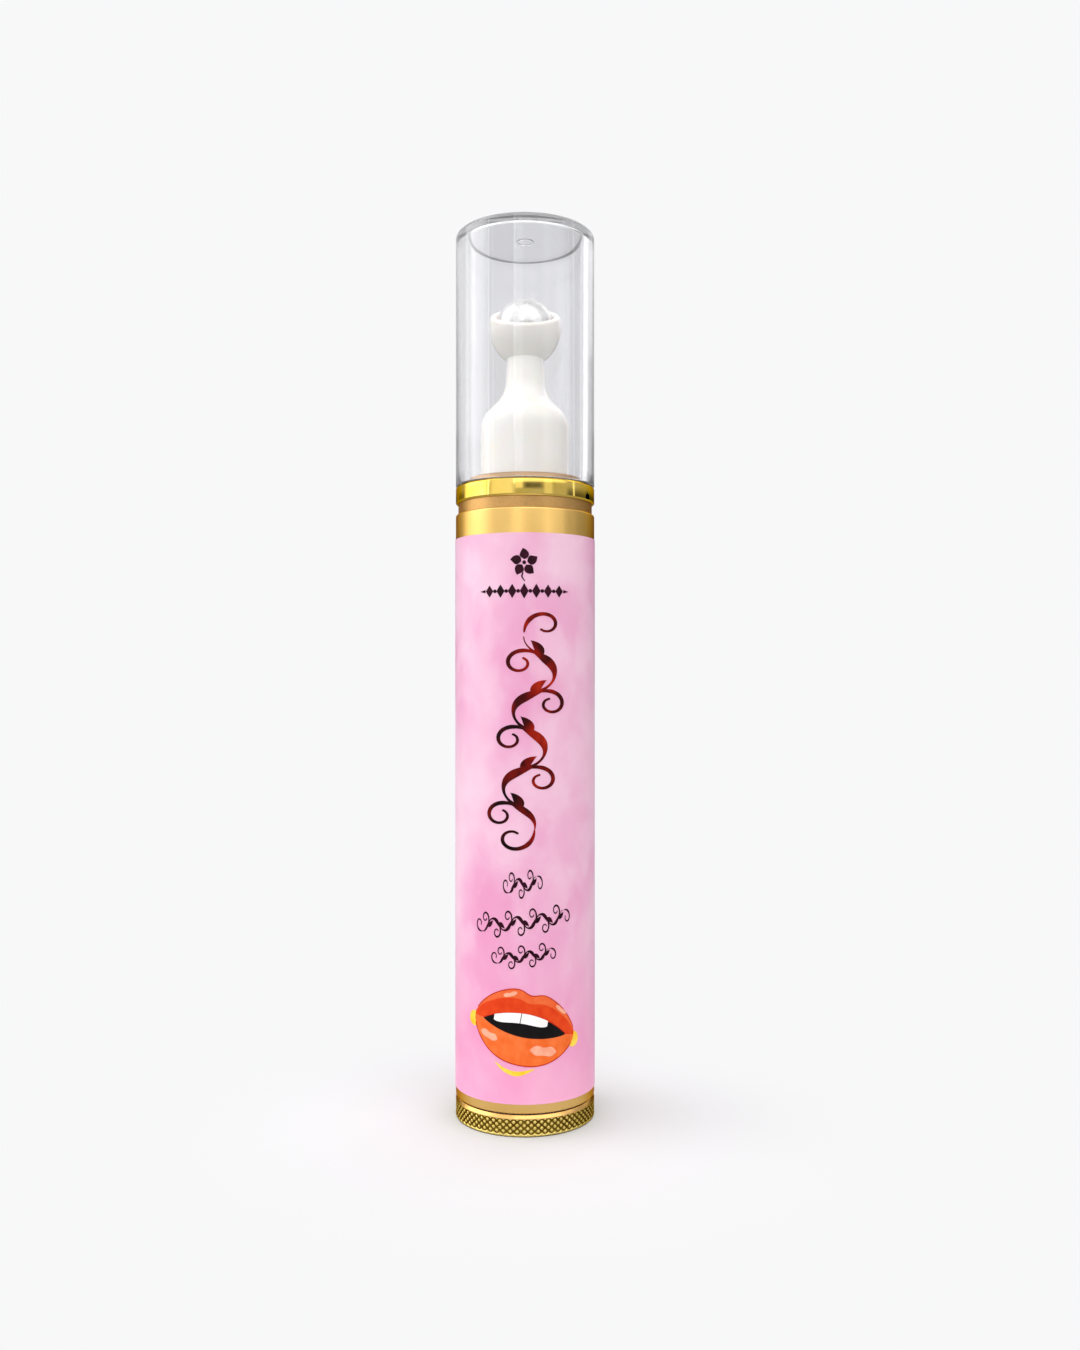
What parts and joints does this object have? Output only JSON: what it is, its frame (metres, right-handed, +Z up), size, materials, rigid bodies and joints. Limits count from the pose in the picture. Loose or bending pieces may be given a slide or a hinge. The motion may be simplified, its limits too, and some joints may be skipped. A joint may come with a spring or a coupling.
{
  "type": "lip gloss tube",
  "caption": "Slim bottom-twist lip gloss tube: gold metal body with a pink label, clear cap over a steel roller-ball head, knurled twist knob at the base.",
  "frame": {"origin": "centre of the base of the twist knob, where the tube stands", "axes": "+Z up along the tube to the cap, -Y to the front, where the slanted ball and the label's art face, +X to the right seen from the front"},
  "size_m": [0.0196, 0.0196, 0.1235],
  "materials": {
    "satin_gold": "satin gold anodised",
    "polished_gold": "polished gold anodised",
    "knurled_gold": "gold anodised, knurled",
    "gold_plastic": "gold sprayed",
    "label_print": "printed and laminated, mottled pink",
    "ivory_plastic": "glossy ivory",
    "natural_plastic": "natural, moulded",
    "acetal": "white, moulded",
    "amber_plastic": "translucent amber, moulded",
    "silicone": "soft, milky",
    "seal_rubber": "black",
    "spring_steel": "bright spring steel",
    "ball_steel": "polished stainless steel",
    "clear_plastic": "clear, thick-walled"
  },
  "bodies": {
    "tube": {"outer_shell": "satin_gold", "label": "label_print", "reservoir_tube": "natural_plastic", "neck_o_ring": "seal_rubber", "cap_neck": "gold_plastic", "collar_ring": "polished_gold", "applicator_head": "ivory_plastic", "ball_seat": "natural_plastic", "outlet_valve": "silicone", "bottom_bearing": "acetal", "ratchet_ring": "acetal"},
    "ball": {"roller_ball": "ball_steel"},
    "knob": {"knob_sleeve": "knurled_gold", "knob_core": "natural_plastic", "lead_screw": "acetal", "retaining_ring": "spring_steel", "click_pawl": "amber_plastic"},
    "piston": {"piston_body": "natural_plastic", "piston_seal": "silicone", "drive_nut": "acetal"},
    "cap": {"clear_cap": "clear_plastic"}
  },
  "joints": [
    {"name": "cap_lift", "type": "slide", "parent": "tube", "child": "cap", "axis": [0, 0, 1], "range_m": [0, 0.04]},
    {"name": "ball_roll", "type": "hinge", "parent": "tube", "child": "ball", "pos_m": [0, 0, 0.1107], "axis": [1, 0, 0], "continuous": true},
    {"name": "knob_turn", "type": "hinge", "parent": "tube", "child": "knob", "pos_m": [0, 0, 0], "axis": [0, 0, 1], "range_deg": [0, 5400]},
    {"name": "piston_climb", "type": "slide", "parent": "tube", "child": "piston", "axis": [0, 0, 1], "range_m": [0, 0.0601]}
  ],
  "couplings": [
    {"joint": "piston_climb", "follows": "knob_turn", "m_per_rad": 0.00063662}
  ]
}
